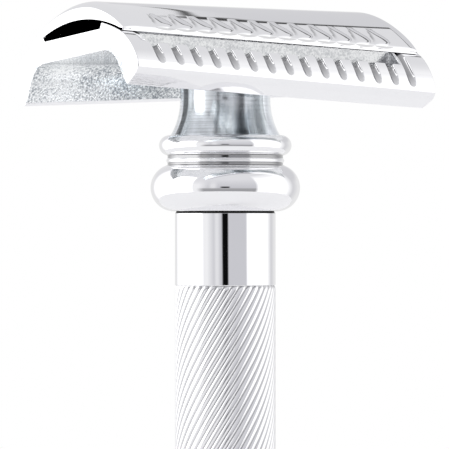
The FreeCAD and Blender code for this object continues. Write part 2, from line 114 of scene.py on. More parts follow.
class RazorHeadSizes(bpy.types.PropertyGroup):
    """Sizes of the cap and the plate, in the section that turns as it runs along the head."""

    twist: angle("Twist", 10.5, "Turn of the section over the plate's length")
    line_height: length("Head line", 18.2, "Height of the head's own line above the seam")
    cap_half_width: length("Cap half width", 9.5, "From the middle to the cap's rim")
    cap_rim_top: length("Rim top", 1.47, "Upper corner of the cap's rim above the head's line")
    cap_top_radius: length("Cap radius", 13.83, "Radius of the arched top")
    cap_under_crest: length("Under crest", 3.0, "Crest of the arched underside")
    cap_under_radius: length("Under radius", 22.0, "Radius of the arched underside")
    seat_gap: length("Seat gap", 0.06, "Gap that the blade takes up")
    end_run: length("End run", 1.9, "How far from its ends the cap starts to fall away")
    end_radius: length("End radius", 2.51, "Radius of the fall at the cap's ends")
    rope_depth: length("Rope depth", 0.17, "Height of the rope border's lobes")
    rope_pitch: length("Rope pitch", 2.74, "Distance from one lobe of the rope border to the next")
    notch_pitch: length("Notch pitch", 2.5, "Distance from one guard notch to the next")
    notch_radius: length("Notch radius", 0.6, "Half the width of a guard notch")
    guard_start: length("Guard start", 18.4, "Open comb's reach to the end where the guard rises")
    guard_end: length("Guard end", 16.6, "Open comb's reach to the other end")
    edge_round: length("Edge rounding", 0.12, "Polished rounding of the outer edges")


class RazorGripSizes(bpy.types.PropertyGroup):
    """Sizes of the handle's spiral ribs."""

    ribs: IntProperty(name="Ribs", description="Spiral ribs round the grip", default=40)
    lead: length("Lead", 57.0, "Rise of a rib in one full turn")
    depth: length("Depth", 0.24, "Depth of the grooves between the ribs")
    upper_band: length("Upper band", 8.3, "Smooth band between the seam and the ribs")
    lower_band: length("Lower band", 8.0, "Smooth band below the ribs")
    tip: length("Tip", 0.5, "Length of a rib's rounded end")


class RazorFinish(bpy.types.PropertyGroup):
    """Colours of the metals, the rubber and the floor."""

    chrome: colour("Chrome", (0.93, 0.93, 0.945), "Polished plating")
    neck: colour("Turned steel", (0.68, 0.71, 0.75), "Turned neck, left unpolished")
    steel: colour("Plain steel", (0.52, 0.52, 0.53), "Machined inner parts")
    brass: colour("Brass", (0.72, 0.52, 0.22), "Bushes and thrust washer")
    rubber: colour("Rubber", (0.02, 0.02, 0.022), "Sealing ring")
    floor: colour("Floor", (0.93, 0.93, 0.93), "Pale floor")


class RazorStudio(bpy.types.PropertyGroup):
    """Place of the camera, and the studio around it."""

    turn: angle("Turn", 35.2, "Camera's place, turned from the front of the head to its left")
    distance: length("Distance", 465.0, "From the camera to the handle's axis")
    drop: length("Drop", 1.39, "Camera's height below the seam")
    lens: FloatProperty(name="Lens", description="Focal length in millimetres", default=326.3)
    shift: FloatProperty(name="Shift", description="Sideways shift of the picture",
                         default=-0.00178)
    table: length("Table", 237.0, "Radius of the round table top")
    light: FloatProperty(name="Light", description="Strength of the studio's panels", default=1.0)


# ---- outlines, grids and meshes


def run_points(start, end, radius, share):
    """Points of one run at shares of its length. A straight run goes evenly from start to end. An
    arc turns about the point that lies the radius away from both ends, left of the way if the
    radius is positive and right of it if it is negative."""
    start, end = np.array(start, float), np.array(end, float)
    chord = end - start
    if not radius:
        return start + share[:, None] * chord
    span = np.hypot(*chord)
    across = np.array([-chord[1], chord[0]]) / span
    rise = math.copysign(math.sqrt(radius**2 - span**2 / 4), radius)
    centre = (start + end) / 2 + across * rise
    sweep = 2 * math.asin(span / 2 / abs(radius)) * math.copysign(1, radius)
    way = math.atan2(*(start - centre)[::-1]) + share * sweep
    return centre + abs(radius) * np.column_stack([np.cos(way), np.sin(way)])


def run_length(start, end, radius):
    """Length of a straight or round run."""
    span = math.dist(start, end)
    return 2 * abs(radius) * math.asin(span / 2 / abs(radius)) if radius else span


def outline(corners, closed=True, blend=4):
    """Outline of straight and round runs whose corners are eased, in millimetres.

    A corner is (x, y, ease, radius, steps): the run that leaves it has the radius (0 for straight)
    and is divided into the steps. The ease is how far the corner is cut back along both runs; the
    two ends are joined by a parabola whose control point is the corner. Every run has one more
    point just inside each end, so that flats stay flat when shaded."""
    count = len(corners)
    last = count if closed else count - 1
    pieces = []
    for index in range(last):
        x, y, ease, radius, steps = corners[index]
        end = corners[(index + 1) % count]
        whole = run_length((x, y), end[:2], radius)
        low = ease / whole if closed or index else 0.0
        high = 1 - (end[2] / whole if closed or index < last - 1 else 0.0)
        share = np.linspace(low, high, steps + 1)
        inner = min(HOLD / whole, (high - low) / steps / 3)
        share = np.sort(np.append(share, [low + inner, high - inner]))
        pieces.append(run_points((x, y), end[:2], radius, share))
    t = (np.arange(1, blend) / blend)[:, None]
    joined = []
    for index, piece in enumerate(pieces):
        if not closed and index == last - 1:
            joined.append(piece)
            break
        x, y, ease = corners[(index + 1) % count][:3]
        follow = pieces[(index + 1) % len(pieces)][0]
        if ease:
            joined += [piece, (1 - t) ** 2 * piece[-1] + 2 * t * (1 - t) * np.array([x, y])
                       + t**2 * follow]
        else:
            joined.append(piece[:-1])
    return np.concatenate(joined)


def outward(section):
    """Unit normals of a clockwise closed outline: the mean way along it, turned to the left."""
    way = np.roll(section, -1, axis=0) - np.roll(section, 1, axis=0)
    way /= np.hypot(way[:, 0], way[:, 1])[:, None]
    return np.column_stack([-way[:, 1], way[:, 0]])


def smooth_step(x):
    """0 below 0, 1 above 1 and the cubic 3x^2 - 2x^3 between."""
    x = np.clip(x, 0, 1)
    return x * x * (3 - 2 * x)


def new_object(name, points, faces, flat=0):
    """Mesh object at the origin, from arrays of points in millimetres and of faces. The last faces
    of the list, as many as flat says, are shaded flat."""
    mesh = bpy.data.meshes.new(name)
    mesh.from_pydata((points * MM).tolist(), [], faces)
    smooth = np.ones(len(faces), bool)
    if flat:
        smooth[-flat:] = False
    mesh.polygons.foreach_set("use_smooth", smooth)
    mesh.update()
    thing = bpy.data.objects.new(name, mesh)
    bpy.context.scene.collection.objects.link(thing)
    return thing


def add_shade(thing, name, values):
    """Stores a number at each point: the skin is 0 where polished, 1 where cast and 2 where
    hidden and painted dark as shade, and the painted shade grows from 0 to 1 into creases."""
    attribute = thing.data.attributes.new(name, "FLOAT", "POINT")
    attribute.data.foreach_set("value", np.ascontiguousarray(values, np.float32).ravel())


def grid_faces(rows, columns, closed):
    """Four-sided faces of a grid of rows x columns points. Columns close on themselves, and rows
    too if closed."""
    row = np.arange(rows if closed else rows - 1)[:, None]
    column = np.arange(columns)[None, :]
    right, above = (column + 1) % columns, (row + 1) % rows
    corners = [row * columns + column, row * columns + right,
               above * columns + right, above * columns + column]
    return np.stack(np.broadcast_arrays(*corners), axis=-1).reshape(-1, 4)


def long_object(name, rings):
    """Closed body through rings (rows x columns x 3) that stand one behind another along X, each
    clockwise when seen from the front, with a flat face at each end."""
    rows, columns, _ = rings.shape
    faces = grid_faces(rows, columns, False)[:, ::-1].tolist()
    faces.append(list(range(columns)))
    faces.append(list(range(rows * columns - 1, (rows - 1) * columns - 1, -1)))
    return new_object(name, rings.reshape(-1, 3), faces, flat=2)


def turned_object(name, section, columns=COLUMNS, turn=0.0, grooves=0.0):
    """Closed ring turned about Z: each point (radius, height) of an anticlockwise outline goes
    round a circle. The turn shifts the points of a row round their circle, and the grooves are
    taken off the radius; either may be a number or an array that fits rows x columns."""
    around = np.linspace(0, 2 * math.pi, columns, endpoint=False)[None, :] + turn
    radius = section[:, 0, None] - grooves
    radius, around, height = np.broadcast_arrays(radius, around, section[:, 1, None])
    rings = np.stack([radius * np.cos(around), radius * np.sin(around), height], axis=-1)
    faces = grid_faces(len(section), rings.shape[1], True)
    return new_object(name, rings.reshape(-1, 3), faces.tolist())


RIB_SAMPLES = 10  # points across a rib


def ribbed_object(name, section, radius, low, high, ribs, depth):
    """Turned ring with spiral ribs on its face of one radius between two heights.

    A row's points are spaced for the ribs: within a rib, q runs from -1 to 1 as -cos(pi s), and the
    surface lies at radius - depth * (1 - sqrt(1 - q^2 - w^2)), where w grows from 0 to 1 over the
    rib's rounded tip. Rows turn by 360 degrees in one lead, and turn back over the hidden bore."""
    grip = bpy.context.scene.razor_grip
    q = -np.cos(math.pi * np.arange(RIB_SAMPLES) / RIB_SAMPLES)
    place = (np.arange(ribs)[:, None] + (q + 1) / 2).ravel() * 2 * math.pi / ribs
    q = np.tile(q, ribs)[None, :]
    height = section[:, 1]
    skin = np.flatnonzero((height > low) & (height < high) & (section[:, 0] > radius - 0.01))
    first, last = skin[0], skin[-1]
    turn = 2 * math.pi * (height[first:last + 1] - low) / (grip.lead / MM)
    back = turn[-1] * (1 - np.arange(1, len(section) - last) / (len(section) - last))
    turn = np.concatenate([np.zeros(first), turn, back])[:, None]
    tip = grip.tip / MM
    w = np.maximum(np.clip(1 - (height - low) / tip, 0, 1),
                   np.clip(1 - (high - height) / tip, 0, 1))
    dome = np.sqrt(np.clip(1 - q**2 - w[:, None] ** 2, 0, 1))
    worn = np.zeros(len(section))
    worn[first:last + 1] = 1
    grooves = depth * (1 - dome) * worn[:, None]
    even = np.linspace(0, 2 * math.pi, len(place), endpoint=False)
    thing = turned_object(name, section, len(place), turn + place - even, grooves)
    # Painted shade darkens the grooves between the ribs.
    add_shade(thing, "painted_shade", RIB_PAINTED_SHADE * smooth_step(grooves / depth))
    return thing


# ---- finishes


def new_finish(name, metallic=1.0):
    """Empty node material: itself, its tree, its shader and Object coordinates."""
    material = bpy.data.materials.new(name)
    material.use_nodes = True
    tree = material.node_tree
    shader = tree.nodes["Principled BSDF"]
    shader.inputs["Metallic"].default_value = metallic
    return material, tree, shader, tree.nodes.new("ShaderNodeTexCoord").outputs["Object"]


def add_noise(tree, place, scale, detail=3.0, stretch=None):
    """Noise with so many features a metre, and more of them along a stretched axis."""
    if stretch:
        mapping = tree.nodes.new("ShaderNodeMapping")
        mapping.inputs["Scale"].default_value = stretch
        tree.links.new(place, mapping.inputs["Vector"])
        place = mapping.outputs["Vector"]
    noise = tree.nodes.new("ShaderNodeTexNoise")
    noise.inputs["Scale"].default_value = scale
    noise.inputs["Detail"].default_value = detail
    tree.links.new(place, noise.inputs["Vector"])
    return noise.outputs["Fac"]


def add_range(tree, value, low, high, to_low, to_high):
    """Value carried from one range to another, and kept inside it."""
    node = tree.nodes.new("ShaderNodeMapRange")
    for name, number in zip(("From Min", "From Max", "To Min", "To Max"),
                            (low, high, to_low, to_high)):
        node.inputs[name].default_value = number
    tree.links.new(value, node.inputs["Value"])
    return node.outputs["Result"]


def add_math(tree, operation, *values):
    """One sum on sockets and numbers."""
    node = tree.nodes.new("ShaderNodeMath")
    node.operation = operation
    for socket, value in zip(node.inputs, values):
        if isinstance(value, bpy.types.NodeSocket):
            tree.links.new(value, socket)
        else:
            socket.default_value = value
    return node.outputs["Value"]


def add_attribute(tree, name):
    """Number that the mesh carries at its points."""
    node = tree.nodes.new("ShaderNodeAttribute")
    node.attribute_name = name
    return node.outputs["Fac"]


def add_mix(tree, factor, first, second):
    """Colour between two colours or sockets."""
    node = tree.nodes.new("ShaderNodeMix")
    node.data_type = "RGBA"
    tree.links.new(factor, node.inputs["Factor"])
    colours = [socket for socket in node.inputs if socket.type == "RGBA"]
    for socket, value in zip(colours, (first, second)):
        if isinstance(value, bpy.types.NodeSocket):
            tree.links.new(value, socket)
        else:
            socket.default_value = (*value, 1)
    return next(socket for socket in node.outputs if socket.type == "RGBA")


def add_bumps(tree, shader, *parts):
    """Bumps one on another, each a height socket and its depth in metres."""
    normal = None
    for height, depth in parts:
        bump = tree.nodes.new("ShaderNodeBump")
        bump.inputs["Distance"].default_value = depth
        tree.links.new(height, bump.inputs["Height"])
        if normal is not None:
            tree.links.new(normal, bump.inputs["Normal"])
        normal = bump.outputs["Normal"]
    tree.links.new(normal, shader.inputs["Normal"])


def paint(tree, shader, base, rough):
    """Gives a finish its colour and its roughness."""
    tree.links.new(base, shader.inputs["Base Color"])
    tree.links.new(rough, shader.inputs["Roughness"])


def shade(rgb, share):
    """Colour made darker or lighter by a share."""
    return [min(1.0, channel * share) for channel in rgb]


# Colours of painted shade and unpolished plating, how much rougher it is, bump depths in metres.
PAINTED_SHADE_COLOUR, PAINTED_SHADE_METAL = (0.02, 0.02, 0.022), (0.05, 0.05, 0.05)
# The cast skin is speckled between these two colours: the bright specks are painted sparkle.
CAST_DULL, CAST_PAINTED_SPARKLE = (0.31, 0.34, 0.37), (0.98, 1.0, 1.0)
CAST_ROUGHER, HIDDEN_ROUGHER = 0.2, 0.4
SCRATCH_DEPTH, LATHE_DEPTH, MACHINED_DEPTH = 0.0000003, 0.000003, 0.000004
CAST_DEPTH, RUBBER_DEPTH = 0.00005, 0.00001


def add_painted_shade(tree, light):
    """Colour darkened by painted shade in the creases of the mesh."""
    return add_mix(tree, add_attribute(tree, "painted_shade"), light, PAINTED_SHADE_COLOUR)


def plating(tree, place, look):
    """Colour, roughness and hairline scratches of mirror plating with faint haze patches."""
    haze = add_noise(tree, place, 260)
    bright = add_mix(tree, haze, shade(look.chrome, 0.97), look.chrome)
    rough = add_range(tree, haze, 0.35, 0.7, 0.015, 0.04)
    scratches = add_noise(tree, place, 900, 2, (0.25, 9, 9)), SCRATCH_DEPTH
    return bright, rough, scratches


def polished_plate_painted_shade(look):
    """Mirror plating, darkened by painted shade in the creases."""
    material, tree, shader, place = new_finish("polished_plate_painted_shade")
    bright, rough, scratches = plating(tree, place, look)
    paint(tree, shader, add_painted_shade(tree, bright), rough)
    add_bumps(tree, shader, scratches)
    return material


def cast_plate_painted_shade_and_sparkle(look):
    """Mirror plating whose cast parts, where the skin attribute is 1, keep a rough skin with
    painted sparkle, whose hidden parts, where it is 2, are dull and painted dark as shade, and
    whose creases get painted shade."""
    material, tree, shader, place = new_finish("cast_plate_painted_shade_and_sparkle")
    bright, rough, scratches = plating(tree, place, look)
    skin = add_attribute(tree, "cast_skin_and_shade")
    cast = add_range(tree, skin, 0, 1, 0, 1)
    hidden = add_range(tree, skin, 1, 2, 0, 1)
    grain = add_noise(tree, place, 4200, 2)
    patchy = add_math(tree, "MULTIPLY_ADD", add_noise(tree, place, 160, 1), 0.5, grain)
    speck = add_range(tree, patchy, 0.58, 0.86, 0, 1)
    light = add_mix(tree, cast, bright, add_mix(tree, speck, CAST_DULL, CAST_PAINTED_SPARKLE))
    rough = add_math(tree, "MULTIPLY_ADD", cast, CAST_ROUGHER, rough)
    paint(tree, shader, add_mix(tree, hidden, add_painted_shade(tree, light), PAINTED_SHADE_METAL),
          add_math(tree, "MULTIPLY_ADD", hidden, HIDDEN_ROUGHER, rough))
    add_bumps(tree, shader, scratches, (add_math(tree, "MULTIPLY", grain, cast), CAST_DEPTH))
    return material


# The neck's bands are painted reflections, dull and bright, round the axis.
NECK_REFLECTION_START = 0.18  # where the first band starts, in half turns
NECK_PAINTED_REFLECTIONS = [  # place in half a turn, brightness
    (0.0, 0.85), (0.12, 0.85), (0.135, 0.2), (0.19, 0.12), (0.205, 1.0), (0.225, 1.0),
    (0.245, 0.78), (0.29, 0.82), (0.325, 0.72), (0.42, 0.76), (0.447, 0.28), (0.472, 0.66),
    (0.55, 0.68), (0.585, 0.4), (0.606, 0.16), (0.624, 0.16), (0.645, 0.85), (0.69, 0.85),
    (0.72, 0.58), (0.75, 0.62), (0.78, 1.0), (1.0, 1.0),
]


def turned_steel(look):
    """Neck steel: fine lines round the axis, and painted reflections in bands of dull and bright
    down it. The bands follow the angle round the axis, a little blurred by the streaks, and come
    back twice in a turn."""
    material, tree, shader, place = new_finish("turned_neck_steel_painted_reflections")
    lines = add_noise(tree, place, 1000, 4, (0.15, 0.15, 9))
    streaks = add_noise(tree, place, 900, 2, (1, 1, 0.03))
    apart = tree.nodes.new("ShaderNodeSeparateXYZ")
    tree.links.new(place, apart.inputs["Vector"])
    around = add_math(tree, "ARCTAN2", apart.outputs["Y"], apart.outputs["X"])
    around = add_math(tree, "MULTIPLY_ADD", around, 1 / math.pi, NECK_REFLECTION_START)
    blur = add_math(tree, "MULTIPLY_ADD", streaks, 0.03, around)
    bands = tree.nodes.new("ShaderNodeValToRGB")
    tree.links.new(add_math(tree, "FRACT", blur), bands.inputs["Fac"])
    while len(bands.color_ramp.elements) < len(NECK_PAINTED_REFLECTIONS):
        bands.color_ramp.elements.new(0.5)
    for element, (position, tone) in zip(bands.color_ramp.elements, NECK_PAINTED_REFLECTIONS):
        element.position, element.color = position, (tone, tone, tone, 1)
    tone = bands.outputs["Color"]
    tone = add_math(tree, "ADD", tone, add_range(tree, lines, 0.3, 0.7, -0.12, 0.1))
    tone = add_math(tree, "ADD", tone, add_range(tree, streaks, 0.3, 0.7, -0.1, 0.1))
    paint(tree, shader, add_mix(tree, tone, shade(look.neck, 0.1), shade(look.neck, 1.35)),
          add_range(tree, streaks, 0.3, 0.7, 0.06, 0.16))
    add_bumps(tree, shader, (lines, LATHE_DEPTH))
    return material


def machined(name, base):
    """Machined metal: lines round the axis and small blotches of roughness."""
    material, tree, shader, place = new_finish(name)
    lines = add_noise(tree, place, 900, 3, (0.3, 0.3, 6))
    blotch = add_noise(tree, place, 500)
    paint(tree, shader, add_mix(tree, blotch, shade(base, 0.8), base),
          add_range(tree, blotch, 0.3, 0.7, 0.2, 0.36))
    add_bumps(tree, shader, (lines, MACHINED_DEPTH))
    return material


def moulded_rubber(look):
    """Matte moulded rubber with a faint bloom."""
    material, tree, shader, place = new_finish("moulded_rubber", 0.0)
    bloom = add_noise(tree, place, 1500, 4)
    paint(tree, shader, add_mix(tree, bloom, look.rubber, shade(look.rubber, 2.2)),
          add_range(tree, bloom, 0.3, 0.7, 0.55, 0.75))
    add_bumps(tree, shader, (bloom, RUBBER_DEPTH))
    return material


def pale_table(look):
    """Plain pale table top with a hardly seen mottle."""
    material, tree, shader, place = new_finish("pale_table", 0.0)
    mottle = add_noise(tree, place, 8)
    tree.links.new(add_mix(tree, mottle, shade(look.floor, 0.985), look.floor),
                   shader.inputs["Base Color"])
    shader.inputs["Roughness"].default_value = 0.9
    return material


FINISHES = {}


def finish(maker, *values):
    """The material that a maker makes, made only once."""
    name = maker.__name__ if not values else values[0]
    known = FINISHES.get(name)
    if known is None:
        look = bpy.context.scene.razor_finish
        known = FINISHES[name] = maker(*values) if values else maker(look)
    return known


def place_piece(thing, material, body, node):
    """Gives a piece its finish and its body, and hides the CAD node that it stands for."""
    thing.data.materials.append(material)
    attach(thing, body)
    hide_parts(node)


# ---- head


def head_points(x, across, height):
    """Section points carried along the head. At x the section is turned about the head's line by
    the twist times x over the plate's length. All in millimetres."""
    head = bpy.context.scene.razor_head
    turn = head.twist * x / (2 * PLATE_HALF)
    y = across * np.cos(turn) - height * np.sin(turn)
    z = across * np.sin(turn) + height * np.cos(turn)
    return np.stack([x, y, z + SEAM + head.line_height / MM], axis=-1)


def stations(half, inner, ease, steps=4):
    """Places along X from end to end, and how far the section is drawn in there: nothing along the
    head, and a quarter circle of the ease at each end."""
    way = np.linspace(0, math.pi / 2, steps + 1)
    end = half - ease + ease * np.sin(way)
    drawn = ease * (1 - np.cos(way))
    held = half - ease - HOLD
    x = np.concatenate([-end[::-1], [-held], inner, [held], end])
    drawn = np.concatenate([drawn[::-1], np.zeros(len(inner) + 2), drawn])
    return x[:, None], drawn[:, None]


def under_height(across):
    """Height of the cap's arched underside at a distance from the middle, in millimetres."""
    head = bpy.context.scene.razor_head
    radius = head.cap_under_radius / MM
    return head.cap_under_crest / MM - radius + math.sqrt(radius**2 - across**2)


ROPE_LOBES = 12
ROPE_START = -15.6  # along the head, where the first lobe starts
ROPE_LEAN = -0.35  # shift of a lobe's tip along the head, against its upper end
ROPE_LOWER, ROPE_UPPER = -0.05, 2.5  # inward from the cap's rim


def rope_relief(x, inward):
    """Height of the rope border at x along the head and at a distance inward from the rim, how much
    painted shade the point gets, in dark strokes along the lobes' edges, and q, which counts the
    lobes.

    The share along a lobe goes from 0 at the rim to 1 at its upper end, and q is x, sheared by the
    lean, over the pitch. A lobe is half an ellipse in (fraction of q / width)^0.55, steep on one
    side and soft on the other. Its width grows from 0.35 of the pitch at the upper end to 0.9 near
    the rim. It rises from nothing at the upper end, and its last quarter at the rim is rounded."""
    head = bpy.context.scene.razor_head
    along = (inward - ROPE_LOWER) / (ROPE_UPPER - ROPE_LOWER)
    q = (x - ROPE_START - ROPE_LEAN * (1 - along)) / (head.rope_pitch / MM)
    width = 0.35 + 0.55 * smooth_step((1 - along) / 0.75)
    lobe = 2 * np.clip(q % 1.0 / width, 0, 1) ** 0.55 - 1
    tip = np.clip((0.25 - along) / 0.25, 0, 1)
    dome = np.clip(1 - lobe**2 - tip**2, 0, 1) ** 0.8 * (1 - along)
    inside = (q > 0) & (q < ROPE_LOBES) & (along > 0) & (along < 1)
    # Painted shade: dark strokes along both edges of each lobe, stronger on the steep one.
    shade_stroke = LEFT_SHADE_STROKE * np.clip(1 - (q % 1.0) / 0.16, 0, 1)
    shade_stroke += RIGHT_SHADE_STROKE * np.clip(1 - np.abs(q % 1.0 - width + 0.04) / 0.08, 0, 1)
    shade_stroke *= smooth_step((1 - along) / 0.3) * smooth_step((along - 0.1) / 0.3)
    return np.where(inside, dome, 0.0) * head.rope_depth / MM, np.where(inside, shade_stroke, 0.0), q


class RAZOR_OT_cap(bpy.types.Operator):
    """Add the twisted, arched cap with the rope border along both rims"""

    bl_idname = "razor.cap"
    bl_label = "Cap"

    def execute(self, context):
        head = context.scene.razor_head
        half, top = head.cap_half_width / MM, head.cap_rim_top / MM
        low, ease = under_height(half), head.edge_round / MM
        arch, under = -head.cap_top_radius / MM, head.cap_under_radius / MM
        crest = top - math.sqrt(arch**2 - half**2)

        def on_arch(across):
            """Point of the arched top at a distance from the middle."""
            return across, crest + math.sqrt(arch**2 - across**2)

        border, rim_round, blade_edge = 6.3, 0.3, 0.08
        section = outline([
            (-half, top, rim_round, arch, 60), (*on_arch(-border), 0, arch, 44),
            (*on_arch(border), 0, arch, 60), (half, top, rim_round, 0, 2),
            (half, low, blade_edge, under, 36), (-half, low, blade_edge, 0, 2),
        ], blend=8)
        evenly = 19.9
        x, drawn = stations(CAP_HALF, np.linspace(-evenly, evenly, 390), ease)
        across, height = section.T[:, None, :]
        normal = outward(section).T[:, None, :]
        above_edge = height > low + 0.1
        on_top = (normal[1] > 0) & above_edge
        on_rim = (np.abs(across) > half - rim_round) & above_edge
        side = np.where(across < 0, 1.0, -1.0)
        relief, painted_shade, lobes = rope_relief(x * side, half - np.abs(across))
        # Painted shade on the rim's face, in half ellipses below the lobes' tips, as deep as their
        # drop.
        tip_drop, soft = 0.3, 0.08
        scallop = tip_drop * np.sqrt(np.clip(1 - (2 * (lobes % 1.0) - 1) ** 2, 0, 1))
        scallop = RIM_PAINTED_SHADE * smooth_step((scallop - (top - height)) / soft)
        scallop = scallop * (lobes > 0) * (lobes < ROPE_LOBES)
        painted_shade = painted_shade * on_top + scallop * on_rim * smooth_step((top - height) / soft + 0.5)
        shift = relief * on_top - drawn
        past = np.clip(np.abs(x) - CAP_HALF + head.end_run / MM, 0, None)
        fall = head.end_radius / MM - np.sqrt((head.end_radius / MM) ** 2 - past**2)
        rim_share = 0.75  # less fall at the rim than in the middle
        fall = fall * (1 - rim_share * (across / half) ** 2) * on_top
        rings = head_points(x + 0 * across, across + normal[0] * shift,
                            height + normal[1] * shift - fall)
        thing = long_object("cap_shell", rings)
        # The underside is painted dark as shade, and the rope border and the rim's face get painted
        # shade.
        shaded_underside = (normal[1] < 0) & (np.abs(across) < half - 1.5)
        add_shade(thing, "cast_skin_and_shade", np.broadcast_to(np.where(shaded_underside, UNDER_SHADE, 0.0),
                                                      rings.shape[:2]))
        add_shade(thing, "painted_shade", painted_shade)
        place_piece(thing, finish(cast_plate_painted_shade_and_sparkle), "head_cap", "cap")
        return {"FINISHED"}


def plate_halves():
    """Right halves of two sections of the plate with matching points, how cast each point is, and
    which points lie in the part that differs.

    The first goes through a corner block and the second through the comb. Both run from the middle
    of the slot over the seat, down the skirt and up to the hollow's roof, and differ only between
    the seat and the shoulder: over the block the seat rounds into the shoulder; in the comb there
    are the platform's wall, the round channel and the guard's crest."""
    head = bpy.context.scene.razor_head
    gap, radius = head.seat_gap / MM, -head.cap_under_radius / MM

    def seat(across):
        """Point of the blade's seat at a distance from the middle."""
        return across, under_height(across) - gap

    # Distances from the middle, heights above the head's line, and radii.
    inside, slot_side, slot_rim, slot_floor = 2.0, 5.6, 5.9, 1.58
    branch, platform, seat_end, guard_side, guard_top = 8.75, 8.95, 9.9, 11.4, -1.05
    shoulder, channel, skirt, hollow_wall = -7.0, 1.3, -1.6, 3.3
    edge, tuck, foot, foot_inside = (12.8, -3.0), (12.2, -4.25), (10.5, -5.3), (10.1, -4.95)
    lip, roof_end, roof = (8.9, -2.9), 6.3, -1.0
    split = run_points(seat(seat_end), edge, shoulder, np.array([0.36]))[0]
    start = outline([(inside, slot_floor, 0, 0, 2), (slot_side, slot_floor, 0.08, 0, 2),
                     (*seat(slot_rim), 0.1, radius, 10), (*seat(branch), 0, 0, 0)],
                    closed=False)[:-1]
    comb = outline([(*seat(branch), 0, radius, 2), (*seat(platform), 0.06, 0, 8),
                    (platform, guard_top, 0, channel, 14), (guard_side, guard_top, 0.1, 0, 6),
                    (*split, 0.1, 0, 0)], closed=False)[:-1]
    block = outline([(*seat(branch), 0, radius, 10), (*seat(seat_end), 0.3, shoulder, 60),
                     (*split, 0, 0, 0)], closed=False)
    rest = outline([(*split, 0, shoulder, 16), (*edge, 0.3, skirt, 10), (*tuck, 0, 0, 5),
                    (*foot, 0.15, 0, 3), (*foot_inside, 0.12, 0, 8), (*lip, 0, hollow_wall, 12),
                    (roof_end, roof, 0, 0, 3), (inside, roof, 0, 0, 0)], closed=False)

    def shares(points):
        """How far along an outline each of its points lies, from 0 to 1."""
        way = np.concatenate([[0], np.cumsum(np.hypot(*np.diff(points, axis=0).T))])
        return way / way[-1]

    wanted = shares(np.vstack([comb, split]))[:-1]
    block = np.column_stack([np.interp(wanted, shares(block), block[:, i]) for i in (0, 1)])
    cast_end, near, hollow_side, hollow_foot, roof_foot = 11.3, 0.1, 10.2, -4.9, -1.2
    skin_comb = WALL_SKIN * ((comb[:, 0] < cast_end) & (comb[:, 1] < seat(platform)[1] - near))
    in_hollow = (rest[:, 0] < hollow_side) & (rest[:, 1] > hollow_foot)
    on_roof = rest[:, 1] > roof_foot
    # Past the cast skin, the slot floor is partly painted dark as shade.
    ends = (FLOOR_SKIN_SHADE * (start[:, 0] < slot_side + near),
            np.where(in_hollow, np.where(on_roof, ROOF_SKIN, HOLLOW_SKIN), 0.0))
    halves = [np.concatenate([start, middle, rest]) for middle in (block, comb)]
    skins = [np.concatenate([ends[0], middle, ends[1]]) for middle in (0 * skin_comb, skin_comb)]
    middle = np.zeros(len(halves[0]), bool)
    middle[len(start):len(start) + len(comb)] = True
    return halves, skins, middle


NOTCHES = 15  # on each side
GUARD_TOP = np.array([11.75, -1.05])  # across and height of the guard's upper edge
GUARD_DOWN, GUARD_OUT = np.array([0.695, -0.719]), np.array([0.719, 0.695])


def notched(x, across, height):
    """Points of the right half with the guard's notches cut, and how shaded they are.

    Beside each notch's middle line, d is the distance along the head. In the frame that leans with
    the guard, with a down the guard and b out of it, every b is kept below -sqrt(r^2 - d^2). The
    shade goes with the root of the notch's depth, and fades down the guard."""
    head = bpy.context.scene.razor_head
    pitch, radius = head.notch_pitch / MM, head.notch_radius / MM
    fade_start, fade_run, least_shade = 0.3, 2.0, 0.1
    d = x - np.round(x / pitch) * pitch
    notch = (np.abs(d) < radius) & (np.abs(x) < (NOTCHES / 2 - 0.1) * pitch)
    floor = np.where(notch, -np.sqrt(np.clip(radius**2 - d**2, 0, None)), np.inf)
    a, b = ((across - GUARD_TOP[0]) * way[0] + (height - GUARD_TOP[1]) * way[1]
            for way in (GUARD_DOWN, GUARD_OUT))
    depth = np.sqrt(np.clip(-floor / radius, 0, 1))
    shaded = np.where(b > floor, NOTCH_PAINTED_SHADE * depth, 0.0)
    shaded = shaded * np.clip(1 - (a - fade_start) / fade_run, least_shade, 1)
    b = np.minimum(b, floor)
    across, height = (GUARD_TOP[i] + a * GUARD_DOWN[i] + b * GUARD_OUT[i] for i in (0, 1))
    return across, height, shaded


def whole(right, sign=1):
    """Values of both halves of the plate: the left half is the right one turned half a turn."""
    return np.concatenate([right, sign * right[::-1, ::-1]], axis=1)


